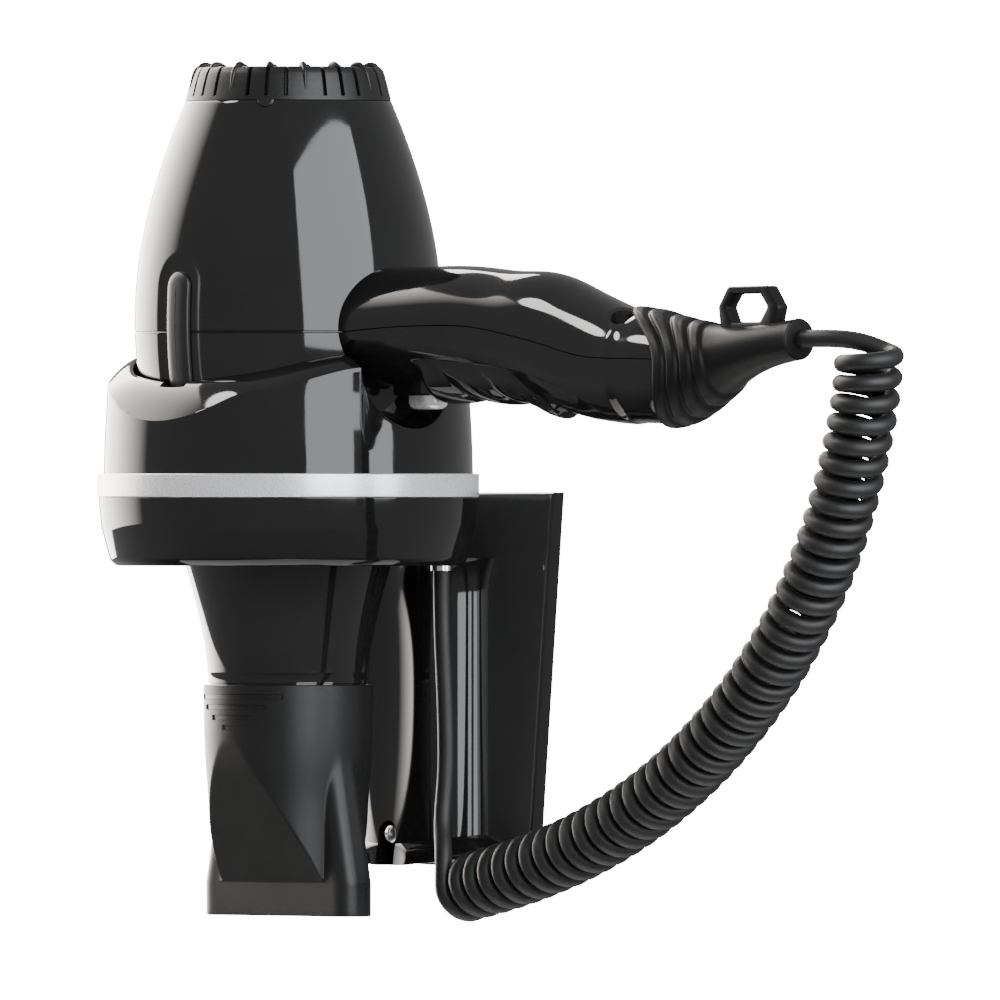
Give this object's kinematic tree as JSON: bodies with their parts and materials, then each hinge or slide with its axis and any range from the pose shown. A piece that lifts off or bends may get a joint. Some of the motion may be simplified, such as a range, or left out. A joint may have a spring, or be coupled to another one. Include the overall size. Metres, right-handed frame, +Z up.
{
  "type": "hair dryer holder",
  "caption": "Wall-mounted ring holder with its hair dryer docked nozzle down, joined by a curly cord from the handle's end to the ring's underside.",
  "frame": {"origin": "centre of the wall plate's back face, on the wall, midway between its top edge and the lowest point of its foot within 3 mm", "axes": "+Z up along the dryer's barrel, -Y out of the wall into the room, +X along the dryer's handle"},
  "size_m": [0.3193, 0.1212, 0.2584],
  "materials": {
    "gloss_black": "glossy moulded black plastic",
    "silver_trim": "silver paint with a fine metallic flake",
    "soft_black": "satin soft liner",
    "steel": "zinc plated",
    "screw_silver": "bright plated cross-head",
    "white_block": "white terminal plastic",
    "gland_silver": "bright plated ferrule",
    "black_nylon": "black nylon",
    "strip_black": "polished black inlay",
    "duct_grey": "dark grey heat-resistant plastic",
    "mica": "pale brown mica board",
    "element_wire": "resistance wire",
    "switch_red": "moulded switch body",
    "suppressor_blue": "coated capacitor",
    "matte_rubber": "matte black rubber",
    "button_silver": "satin silver",
    "matte_black": "fine matte texture",
    "screen_steel": "perforated lint screen",
    "cord_black": "smooth black cord sheath"
  },
  "bodies": {
    "holder": {"holder_body": "gloss_black", "ring_shell": "gloss_black", "trim_band": "silver_trim", "dock_liner": "soft_black", "ring_screws": "steel", "cover_screw": "screw_silver", "wall_bracket": "steel", "terminal_block": "white_block", "cord_gland": "gland_silver", "gland_nut": "black_nylon", "cord_lead_holder": "cord_black"},
    "dryer": {"rear_housing": "gloss_black", "front_housing": "gloss_black", "side_strip_front": "strip_black", "side_strip_back": "strip_black", "fan_duct": "duct_grey", "motor": "steel", "mica_sleeve": "mica", "heater_former": "mica", "heater_coil": "element_wire", "thermostat": "steel", "outlet_grille": "black_nylon", "microswitch": "switch_red", "suppressor": "suppressor_blue", "cord_clamp": "black_nylon", "handle_screw": "steel", "cord_boot": "matte_rubber", "button_spring": "steel", "cord_lead_dryer": "cord_black", "cord_coil": "cord_black"},
    "nozzle": {"nozzle": "matte_black"},
    "rear_cap": {"rear_cap": "matte_black", "filter_screen": "screen_steel"},
    "fan": {"fan": "black_nylon", "motor_shaft": "steel"},
    "button": {"power_button": "button_silver"}
  },
  "joints": [
    {"name": "dryer_lift", "type": "slide", "parent": "holder", "child": "dryer", "axis": [0, 0, 1], "range_m": [0, 0.25], "deforming": ["cord_coil"]},
    {"name": "nozzle_turn", "type": "hinge", "parent": "dryer", "child": "nozzle", "pos_m": [0, -0.064, -0.01], "axis": [0, 0, 1], "continuous": true},
    {"name": "rear_cap_twist", "type": "hinge", "parent": "dryer", "child": "rear_cap", "pos_m": [0, -0.064, 0.171], "axis": [0, 0, 1], "range_deg": [0, 30]},
    {"name": "fan_spin", "type": "hinge", "parent": "dryer", "child": "fan", "pos_m": [0, -0.064, 0.127], "axis": [0, 0, 1], "continuous": true},
    {"name": "button_press", "type": "slide", "parent": "dryer", "child": "button", "axis": [0, 0, 1], "range_m": [0, 0.0025], "stiffness_N_per_m": 400, "springref_m": -0.003, "deforming": ["button_spring"]}
  ]
}
